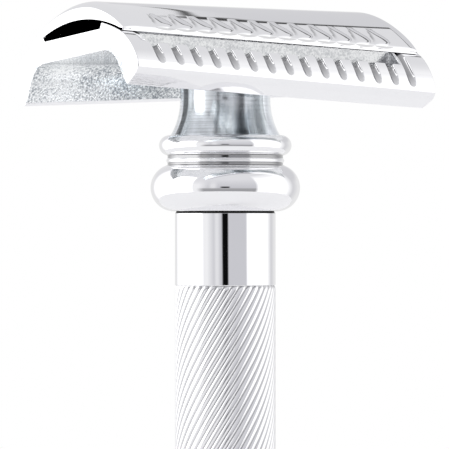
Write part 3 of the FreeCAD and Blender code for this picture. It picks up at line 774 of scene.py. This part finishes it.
class RAZOR_OT_plate(bpy.types.Operator):
    """Add the twisted base plate with its combs, corner blocks and cast hollow"""

    bl_idname = "razor.plate"
    bl_label = "Base plate"

    def execute(self, context):
        head = context.scene.razor_head
        pitch, radius = head.notch_pitch / MM, head.notch_radius / MM
        ease = head.edge_round / MM
        ends = head.guard_start / MM, head.guard_end / MM
        across_notch = -radius * np.cos(np.linspace(0, math.pi, 11))
        offsets = np.concatenate([[-pitch / 2, -radius - HOLD], across_notch, [radius + HOLD]])
        middles = (np.arange(NOTCHES) - NOTCHES // 2)[:, None] * pitch
        inner = (middles + offsets).ravel()[1:]
        wall_run, block_stations = 0.16, [19.2, PLATE_HALF - 0.8]
        wall = wall_run * np.linspace(-0.5, 0.5, 5)
        walls = np.concatenate([ends[0] + wall, ends[1] + wall, block_stations])
        inner = np.sort(np.concatenate([inner, walls, -walls]))
        x, drawn = stations(PLATE_HALF, inner, ease, 3)
        (block, comb), (block_skin, comb_skin), middle = plate_halves()
        open_comb = smooth_step((ends[0] - x) / wall_run + 0.5)
        open_comb = open_comb * smooth_step((ends[1] + x) / wall_run + 0.5)
        half = block + (comb - block) * open_comb[:, :, None]
        along = x + 0 * half[..., 0]
        across, height, shaded = notched(along, half[..., 0], half[..., 1])
        section = np.concatenate([block, block[::-1] * (-1, 1)])
        normal = outward(section).T[:, None, :]
        rings = head_points(whole(along, -1), whole(across, -1) - normal[0] * drawn,
                            whole(height) - normal[1] * drawn)
        thing = long_object("plate_body", rings)
        skin = block_skin + (comb_skin - block_skin) * (open_comb > 0)
        add_shade(thing, "cast_skin_and_shade", whole(skin))
        # Painted shade darkens the platform's wall and the guard's notches.
        painted_shade = np.maximum(WALL_PAINTED_SHADE * skin * middle * (open_comb == 1), shaded)
        add_shade(thing, "painted_shade", whole(painted_shade))
        place_piece(thing, finish(cast_plate_painted_shade_and_sparkle), "handle", "base_plate")
        return {"FINISHED"}


# ---- handle


NECK_FOOT = 8.8  # of the flare, above the seam


def on_seam(corners):
    """Corners whose heights are counted from the seam."""
    return [(x, y + SEAM, ease, radius, steps) for x, y, ease, radius, steps in corners]


class RAZOR_OT_neck(bpy.types.Operator):
    """Add the flared neck between the plate and the collar"""

    bl_idname = "razor.neck"
    bl_label = "Neck"

    def execute(self, context):
        bore, hole, spigot, waist = 3.55, 2.6, 4.0, 5.15  # radii
        tail_foot, bore_top, spigot_top = -3.5, 16.5, 19.5  # heights above the seam
        section = outline(on_seam([
            (bore, tail_foot, 0.1, 0, 2), (TUBE_BORE, tail_foot, 0.1, 0, 8),
            (TUBE_BORE, NECK_FOOT, 0.05, 0, 3), (6.25, NECK_FOOT, 0.05, -8.1, 20),
            (waist, 12.8, 0, 0, 6), (waist, 17.0, 0.05, 0, 2), (spigot, 17.0, 0.05, 0, 3),
            (spigot, spigot_top, 0.1, 0, 2), (hole, spigot_top, 0.1, 0, 3),
            (hole, bore_top, 0.1, 0, 2), (bore, bore_top, 0.1, 0, 12),
        ]))
        thing = turned_object("flared_neck", section)
        place_piece(thing, finish(turned_steel), "handle", "neck")
        return {"FINISHED"}


class RAZOR_OT_collar(bpy.types.Operator):
    """Add the collar with its two beads and the narrow bead between them"""

    bl_idname = "razor.collar"
    bl_label = "Collar"

    def execute(self, context):
        foot, between = 5.6, 6.6  # radii from the axis
        large_bead, narrow_bead, small_bead = 2.7, 0.3, 1.16  # radii of the beads' own arcs
        section = outline(on_seam([
            (TUBE_BORE, 0.0, 0.05, 0, 2), (foot, 0.0, 0.05, 0, 1), (foot, 0.15, 0.04, 0, 1),
            (6.3, 0.15, 0.1, large_bead, 44), (between, 5.4, 0.06, 0, 1),
            (between, 5.65, 0.05, narrow_bead, 10), (between, 6.15, 0.05, 0, 1),
            (between, 6.5, 0.06, small_bead, 28), (6.5, NECK_FOOT, 0.06, 0, 3),
            (TUBE_BORE, NECK_FOOT, 0.05, 0, 10),
        ]))
        thing = turned_object("beaded_collar", section)
        radius, height = section[:, 0], section[:, 1] - SEAM
        recess = (radius < 6.25) & (section[:, 1] < SEAM + 0.2)
        grooves = ((5.47, 0.2), (6.38, 0.22))  # height above the seam, half width
        shaded_groove = np.any([np.abs(height - place) < reach for place, reach in grooves], axis=0)
        shaded_groove &= radius < 6.85
        # The recess at the collar's foot is painted dark as shade, and the two grooves get painted
        # shade.
        add_shade(thing, "cast_skin_and_shade", np.repeat(RECESS_SHADE * recess, COLUMNS))
        add_shade(thing, "painted_shade", np.repeat(COLLAR_PAINTED_SHADE * shaded_groove, COLUMNS))
        place_piece(thing, finish(cast_plate_painted_shade_and_sparkle), "handle", "collar")
        return {"FINISHED"}


class RAZOR_OT_grip(bpy.types.Operator):
    """Add the handle tube with its spiral grip"""

    bl_idname = "razor.grip"
    bl_label = "Grip"

    def execute(self, context):
        grip = context.scene.razor_grip
        low = TUBE_FOOT + grip.lower_band / MM
        high = SEAM - grip.upper_band / MM
        tip_rows = np.array([0.03, 0.08, 0.16, 0.27, 0.4, 0.54])
        band_rows, rim_rows = np.array([0.02, 0.06]), np.array([0.1, 0.14])
        rows = np.concatenate([
            TUBE_FOOT + rim_rows, (low - band_rows)[::-1], low + tip_rows,
            np.linspace(low + 1, high - 1, 84), (high - tip_rows)[::-1],
            high + band_rows, (SEAM - rim_rows)[::-1]])
        outer = np.column_stack([np.full(len(rows), TUBE_RADIUS), rows])
        bore_rows = np.linspace(SEAM, TUBE_FOOT, 56)
        bore = np.column_stack([np.full(len(bore_rows), TUBE_BORE), bore_rows])
        rim = TUBE_RADIUS - rim_rows[0]
        section = np.concatenate([[[rim, TUBE_FOOT]], outer, [[rim, SEAM]], bore])
        thing = ribbed_object("spiral_grip", section, TUBE_RADIUS, low, high, grip.ribs,
                              grip.depth / MM)
        place_piece(thing, finish(polished_plate_painted_shade), "handle", "handle_tube")
        return {"FINISHED"}


KNOB_RIBS = 44


class RAZOR_OT_knob(bpy.types.Operator):
    """Add the twist knob with its beads and ribbed belt"""

    bl_idname = "razor.knob"
    bl_label = "Knob"

    def execute(self, context):
        grip = context.scene.razor_grip
        # Radii, heights, and radii of the two beads' own arcs.
        recess, belt, bevel, low_neck, high_neck = 4.5, 7.0, 6.75, 6.3, 6.1
        rod, screw, screw_head = 2.0, 1.6, 3.0
        belt_low, belt_high, top, recess_roof = 3.75, 10.35, 14.0, 1.6
        low_bead, high_bead = 1.57, 1.21
        section = outline([
            (recess, 0.0, 0.05, 0, 2), (5.8, 0.0, 0.08, low_bead, 22), (low_neck, 3.0, 0.06, 0, 1),
            (low_neck, 3.5, 0.05, 0, 1), (bevel, 3.5, 0.04, 0, 1), (belt, belt_low, 0.04, 0, 28),
            (belt, belt_high, 0.04, 0, 1), (bevel, 10.6, 0.04, 0, 1), (high_neck, 10.6, 0.05, 0, 1),
            (high_neck, 11.2, 0.06, high_bead, 20), (5.9, 13.6, 0.05, 0, 1),
            (5.75, 13.6, 0.05, 0, 1), (5.75, top, 0.08, 0, 3), (rod, top, 0.05, 0, 4),
            (rod, 5.0, 0.05, 0, 1),
            (screw, 5.0, 0.05, 0, 2), (screw, 4.0, 0.05, 0, 2), (screw_head, 4.0, 0.05, 0, 4),
            (screw_head, recess_roof, 0.05, 0, 2), (recess, recess_roof, 0.05, 0, 3),
        ])
        thing = ribbed_object("ribbed_knob", section, belt, belt_low, belt_high, KNOB_RIBS,
                              grip.depth / MM)
        place_piece(thing, finish(polished_plate_painted_shade), "drive", "twist_knob")
        return {"FINISHED"}


class RAZOR_OT_fittings(bpy.types.Operator):
    """Give the inner parts, which keep their machined shapes, their finishes"""

    bl_idname = "razor.fittings"
    bl_label = "Inner parts"

    def execute(self, context):
        look = context.scene.razor_finish
        finishes = {
            "polished_chrome": finish(polished_plate_painted_shade),
            "turned_steel": finish(turned_steel),
            "plain_steel": finish(machined, "machined_steel", look.steel),
            "bush_brass": finish(machined, "machined_brass", look.brass),
            "seal_rubber": finish(moulded_rubber),
        }
        for node in frame["nodes"].values():
            for slot in node.material_slots:
                slot.material = finishes[slot.material.name.split(".")[0]]
        return {"FINISHED"}


# ---- studio


PLATING_SHARE = 0.93  # of the light that falls on it, sent back by the plating


def light_of(level):
    """Light that polished plate shows as this level from 0 to 255: the level's own share, made
    linear by the usual display curve, over the plating's share."""
    share = level / 255
    linear = share / 12.92 if share < 0.04045 else ((share + 0.055) / 1.055) ** 2.4
    return linear / PLATING_SHARE


def panel_mask(tree, turn, rise, turns, rises):
    """1 inside a panel and 0 outside. The turns and rises are its edges in degrees, each with the
    width over which it fades. A panel is the product of four steps."""
    mask = None
    for value, ((edge, soft), sign) in zip((turn, turn, rise, rise), zip((*turns, *rises),
                                                                         (1, -1, 1, -1))):
        step = add_range(tree, value, edge - sign * soft / 2, edge + sign * soft / 2, 0, 1)
        mask = step if mask is None else add_math(tree, "MULTIPLY", mask, step)
    return mask


# Panels: turns from the camera to its right and rises above the horizon, each edge in degrees with
# the width over which it fades, then the level and the blueness.
EVERY = ((-400, 1), (400, 1))
DOWN = (-100, 1)
SKY_LEVEL, SKY_BLUENESS = 221, 1.02
BEND_START, BEND_RUN, BEND = 158.0, 60.0, 0.053
BACKDROP = [(EVERY, (DOWN, (42.7, 1.5)), 207, 1.03)]
BACKDROP_EDGE = [
    (((120, 1), (166, 1)), ((42.5, 0.6), (43.7, 0.6)), 60, 1.0),
    (((166, 1), (177, 2)), ((42.95, 0.2), (43.25, 0.2)), 80, 1.0),
]
PANELS = [
    (((-400, 1), (-141, 30)), (DOWN, (12, 8)), 228, 1.0),
    (((139, 22), (400, 1)), (DOWN, (12, 8)), 228, 1.0),
    (((-60, 10), (60, 10)), (DOWN, (60, 20)), 221, 1.03),
    (((-60, 10), (58, 10)), (DOWN, (20, 34)), 200, 1.05),
    (((-60, 10), (-33, 18)), (DOWN, (24, 26)), 240, 1.01),
    (((-24, 6), (-14, 6)), (DOWN, (24, 26)), 226, 1.02),
    (((-40, 12), (54, 12)), (DOWN, (-5, 7)), 158, 1.03),
    (((-132, 34), (-55, 8)), (DOWN, (43, 5)), 338, 1.0),
    (((51, 6), (118, 24)), (DOWN, (42, 20)), 275, 1.0),
    (((-7, 4), (6.5, 3)), ((-3.5, 2), (3, 2)), 12, 1.1),
]


def studio_world(studio):
    """World of soft panels around the razor. A direction's turn is its angle from the camera, to
    the camera's right, and its rise the angle above the horizon. Each panel is laid over the ones
    before it; the camera itself looks past them at plain white. The backdrop's upper edge bends
    down behind the razor: past the turn where the bend starts, it falls by the bend times the
    square of the turn beyond."""
    world = bpy.data.worlds.new("bright_studio")
    bpy.context.scene.world = world
    world.use_nodes = True
    tree = world.node_tree
    tree.nodes.clear()
    turned = tree.nodes.new("ShaderNodeMapping")
    turned.inputs["Rotation"].default_value = (0, 0, studio.turn)
    tree.links.new(tree.nodes.new("ShaderNodeTexCoord").outputs["Generated"],
                   turned.inputs["Vector"])
    apart = tree.nodes.new("ShaderNodeSeparateXYZ")
    tree.links.new(turned.outputs["Vector"], apart.inputs["Vector"])
    degrees = 180 / math.pi
    back = add_math(tree, "MULTIPLY", apart.outputs["Y"], -1.0)
    turn = add_math(tree, "MULTIPLY", add_math(tree, "ARCTAN2", apart.outputs["X"], back), degrees)
    rise = add_math(tree, "MULTIPLY", add_math(tree, "ARCSINE", apart.outputs["Z"]), degrees)
    positive = add_math(tree, "FLOORED_MODULO", turn, 360.0)
    past = add_math(tree, "MINIMUM", add_math(tree, "SUBTRACT", positive, BEND_START), BEND_RUN)
    past = add_math(tree, "POWER", add_math(tree, "MAXIMUM", past, 0.0), 2.0)
    bent = add_math(tree, "MULTIPLY_ADD", past, BEND, rise)
    sky = light_of(SKY_LEVEL)
    light = (sky, sky, sky * SKY_BLUENESS)
    for height, panels in ((bent, BACKDROP), (rise, PANELS), (bent, BACKDROP_EDGE)):
        for turns, rises, level, blueness in panels:
            shown = light_of(level)
            mask = panel_mask(tree, turn, height, turns, rises)
            light = add_mix(tree, mask, light, (shown, shown, shown * blueness))
    soft_box = tree.nodes.new("ShaderNodeBackground")
    soft_box.inputs["Strength"].default_value = studio.light
    tree.links.new(light, soft_box.inputs["Color"])
    plain = tree.nodes.new("ShaderNodeBackground")
    plain.inputs["Color"].default_value = (1, 1, 1, 1)
    choose = tree.nodes.new("ShaderNodeMixShader")
    path = tree.nodes.new("ShaderNodeLightPath")
    tree.links.new(path.outputs["Is Camera Ray"], choose.inputs["Fac"])
    tree.links.new(soft_box.outputs["Background"], choose.inputs[1])
    tree.links.new(plain.outputs["Background"], choose.inputs[2])
    output = tree.nodes.new("ShaderNodeOutputWorld")
    tree.links.new(choose.outputs["Shader"], output.inputs["Surface"])


TABLE_COLUMNS = 96
LAMP_SIZE, LAMP_HEIGHT, LAMP_POWER = 0.9, 1.2, 1.2  # metres, metres and watts
SENSOR = 36.0  # the camera's, in millimetres


class RAZOR_OT_stage(bpy.types.Operator):
    """Add the table top, the studio's light and the camera"""

    bl_idname = "razor.stage"
    bl_label = "Studio"

    def execute(self, context):
        scene, studio = context.scene, context.scene.razor_studio
        scene.view_settings.view_transform = "Standard"
        studio_world(studio)
        radius = studio.table / MM
        foot, bevel, hub, axis = -6.0, 1.0, 0.5, 0.01
        section = np.array([(hub, foot), (radius - bevel, foot), (radius, foot + bevel),
                            (radius, -bevel), (radius - bevel, 0.0), (hub, 0.0)])
        table = turned_object("table_top", section, TABLE_COLUMNS)
        section = np.array([(axis, foot), (hub, foot), (hub, 0.0), (axis, 0.0)])
        middle = turned_object("table_middle", section, TABLE_COLUMNS)
        for thing in (table, middle):
            thing.data.polygons.foreach_set("use_smooth", np.zeros(len(thing.data.polygons), bool))
            thing.data.materials.append(finish(pale_table))
        lamp = bpy.data.lights.new("table_light", "AREA")
        lamp.shape, lamp.size, lamp.energy = "DISK", LAMP_SIZE, LAMP_POWER
        above = bpy.data.objects.new("table_light", lamp)
        above.location = (0, 0, LAMP_HEIGHT)
        above.visible_glossy = False
        above.visible_camera = False
        scene.collection.objects.link(above)
        camera = bpy.data.cameras.new("camera")
        camera.sensor_width, camera.lens, camera.shift_x = SENSOR, studio.lens, studio.shift
        camera.clip_start, camera.clip_end = 0.01, 10.0
        eye = bpy.data.objects.new("camera", camera)
        eye.location = (-studio.distance * math.sin(studio.turn),
                        -studio.distance * math.cos(studio.turn), SEAM * MM - studio.drop)
        eye.rotation_euler = (math.pi / 2, 0, -studio.turn)
        scene.collection.objects.link(eye)
        scene.camera = eye
        return {"FINISHED"}


# ---- add-on

STEPS = ("cap", "plate", "neck", "collar", "grip", "knob", "fittings", "stage")
SETTINGS = (("razor_head", RazorHeadSizes), ("razor_grip", RazorGripSizes),
            ("razor_finish", RazorFinish), ("razor_studio", RazorStudio))


class RAZOR_PT_panel(bpy.types.Panel):
    """Sidebar panel with every step and every setting"""

    bl_label = "Slant Razor"
    bl_idname = "RAZOR_PT_panel"
    bl_space_type = "VIEW_3D"
    bl_region_type = "UI"
    bl_category = "Razor"

    def draw(self, context):
        for step in STEPS:
            self.layout.operator(f"razor.{step}")
        for name, group in SETTINGS:
            box = self.layout.box()
            for setting in group.__annotations__:
                box.prop(getattr(context.scene, name), setting)


CLASSES = (*(group for _, group in SETTINGS), RAZOR_OT_cap, RAZOR_OT_plate, RAZOR_OT_neck,
           RAZOR_OT_collar, RAZOR_OT_grip, RAZOR_OT_knob, RAZOR_OT_fittings, RAZOR_OT_stage,
           RAZOR_PT_panel)


def register():
    """Adds the classes and the settings to Blender."""
    for each in CLASSES:
        bpy.utils.register_class(each)
    for name, group in SETTINGS:
        setattr(bpy.types.Scene, name, PointerProperty(type=group))


def unregister():
    """Takes them away again."""
    for name, _ in SETTINGS:
        delattr(bpy.types.Scene, name)
    for each in reversed(CLASSES):
        bpy.utils.unregister_class(each)


def main():
    """Builds everything in order."""
    register()
    for step in STEPS:
        getattr(bpy.ops.razor, step)()


if __name__ == "__main__":
    main()
